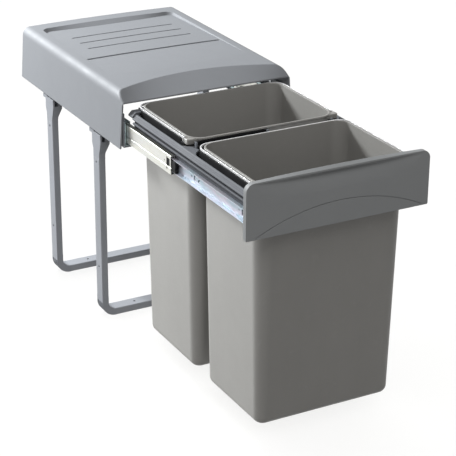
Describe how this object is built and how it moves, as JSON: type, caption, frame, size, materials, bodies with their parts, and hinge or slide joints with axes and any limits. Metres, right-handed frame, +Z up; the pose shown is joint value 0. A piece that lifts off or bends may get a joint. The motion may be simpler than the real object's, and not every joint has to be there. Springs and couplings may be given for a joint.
{
  "type": "pull-out waste bin",
  "caption": "Built-in kitchen waste unit: a drawer on full-extension slides carries lift-out bins with bail handles under a fixed hood on floor-mounted leg frames.",
  "frame": {"origin": "centre of the four floor screw holes, on the underside of the floor bars", "axes": "+Z up, +Y towards the back of the cabinet, +X to the right when facing the panel's back; the drawer opens towards -Y"},
  "size_m": [0.34, 0.8867, 0.4649],
  "materials": {
    "hood_plastic": "fine satin grain, silver grey",
    "frame_steel": "satin powder coat, blue grey",
    "frame_plastic": "moulded, blue grey",
    "zinc_steel": "bright zinc plate",
    "bright_steel": "zinc plated",
    "ball_steel": "polished",
    "cage_steel": "pressed strip",
    "black_plastic": "moulded",
    "panel_plastic": "fine satin grain, grey",
    "bin_plastic": "moulded, warm grey",
    "strap_steel": "bright strip",
    "carrier_plastic": "moulded, grey"
  },
  "bodies": {
    "cabinet_frame": {"hood": "hood_plastic", "hood_screws": "bright_steel", "leg_head_screws": "bright_steel", "slide_rivets": "bright_steel", "front_floor_bar": "frame_steel", "front_left_upright": "frame_steel", "front_left_corner_shoe": "frame_plastic", "front_left_leg_head": "frame_plastic", "front_right_upright": "frame_steel", "front_right_corner_shoe": "frame_plastic", "front_right_leg_head": "frame_plastic", "rear_floor_bar": "frame_steel", "rear_left_upright": "frame_steel", "rear_left_corner_shoe": "frame_plastic", "rear_left_leg_head": "frame_plastic", "rear_right_upright": "frame_steel", "rear_right_corner_shoe": "frame_plastic", "rear_right_leg_head": "frame_plastic", "left_side_rail": "frame_steel", "right_side_rail": "frame_steel", "left_outer_member": "zinc_steel", "right_outer_member": "zinc_steel", "left_rear_stop": "black_plastic", "right_rear_stop": "black_plastic"},
    "drawer": {"front_panel": "panel_plastic", "panel_screws": "bright_steel", "front_crossbar": "carrier_plastic", "middle_crossbar": "black_plastic", "rear_crossbar": "carrier_plastic", "crossbar_dowels": "bright_steel", "divider_plate": "carrier_plastic", "divider_pegs": "carrier_plastic", "runner_screws": "bright_steel", "left_inner_member": "zinc_steel", "right_inner_member": "zinc_steel", "left_carrier_rail": "carrier_plastic", "right_carrier_rail": "carrier_plastic", "left_rail_end_cap": "carrier_plastic", "right_rail_end_cap": "carrier_plastic", "left_edge_strip": "black_plastic", "right_edge_strip": "black_plastic"},
    "front_bin": {"front_bin": "bin_plastic"},
    "rear_bin": {"rear_bin": "bin_plastic"},
    "front_bin_handle": {"front_bin_handle": "strap_steel"},
    "rear_bin_handle": {"rear_bin_handle": "strap_steel"},
    "left_middle_slide": {"left_intermediate_member": "zinc_steel", "left_front_bumper": "black_plastic"},
    "left_outer_cage": {"left_outer_ball_cage": "cage_steel", "left_outer_balls": "ball_steel"},
    "left_inner_cage": {"left_inner_ball_cage": "cage_steel", "left_inner_balls": "ball_steel"},
    "right_middle_slide": {"right_intermediate_member": "zinc_steel", "right_front_bumper": "black_plastic"},
    "right_outer_cage": {"right_outer_ball_cage": "cage_steel", "right_outer_balls": "ball_steel"},
    "right_inner_cage": {"right_inner_ball_cage": "cage_steel", "right_inner_balls": "ball_steel"}
  },
  "joints": [
    {"name": "drawer_slide", "type": "slide", "parent": "cabinet_frame", "child": "drawer", "axis": [0, -1, 0], "range_m": [-0.412, 0]},
    {"name": "front_bin_lift", "type": "slide", "parent": "drawer", "child": "front_bin", "axis": [0, 0, 1], "range_m": [0, 0.45]},
    {"name": "rear_bin_lift", "type": "slide", "parent": "drawer", "child": "rear_bin", "axis": [0, 0, 1], "range_m": [0, 0.45]},
    {"name": "front_handle_hinge", "type": "hinge", "parent": "front_bin", "child": "front_bin_handle", "pos_m": [0, -0.622, 0.4396], "axis": [1, 0, 0], "range_deg": [0, 90]},
    {"name": "rear_handle_hinge", "type": "hinge", "parent": "rear_bin", "child": "rear_bin_handle", "pos_m": [0, -0.4008, 0.4396], "axis": [1, 0, 0], "range_deg": [0, 90]},
    {"name": "left_middle_slide_travel", "type": "slide", "parent": "cabinet_frame", "child": "left_middle_slide", "axis": [0, -1, 0], "range_m": [-0.206, 0]},
    {"name": "left_outer_cage_travel", "type": "slide", "parent": "cabinet_frame", "child": "left_outer_cage", "axis": [0, -1, 0], "range_m": [-0.103, 0]},
    {"name": "left_inner_cage_travel", "type": "slide", "parent": "cabinet_frame", "child": "left_inner_cage", "axis": [0, -1, 0], "range_m": [-0.309, 0]},
    {"name": "right_middle_slide_travel", "type": "slide", "parent": "cabinet_frame", "child": "right_middle_slide", "axis": [0, -1, 0], "range_m": [-0.206, 0]},
    {"name": "right_outer_cage_travel", "type": "slide", "parent": "cabinet_frame", "child": "right_outer_cage", "axis": [0, -1, 0], "range_m": [-0.103, 0]},
    {"name": "right_inner_cage_travel", "type": "slide", "parent": "cabinet_frame", "child": "right_inner_cage", "axis": [0, -1, 0], "range_m": [-0.309, 0]}
  ],
  "couplings": [
    {"joint": "left_middle_slide_travel", "follows": "drawer_slide", "ratio": 0.5},
    {"joint": "left_outer_cage_travel", "follows": "drawer_slide", "ratio": 0.25},
    {"joint": "left_inner_cage_travel", "follows": "drawer_slide", "ratio": 0.75},
    {"joint": "right_middle_slide_travel", "follows": "drawer_slide", "ratio": 0.5},
    {"joint": "right_outer_cage_travel", "follows": "drawer_slide", "ratio": 0.25},
    {"joint": "right_inner_cage_travel", "follows": "drawer_slide", "ratio": 0.75}
  ]
}
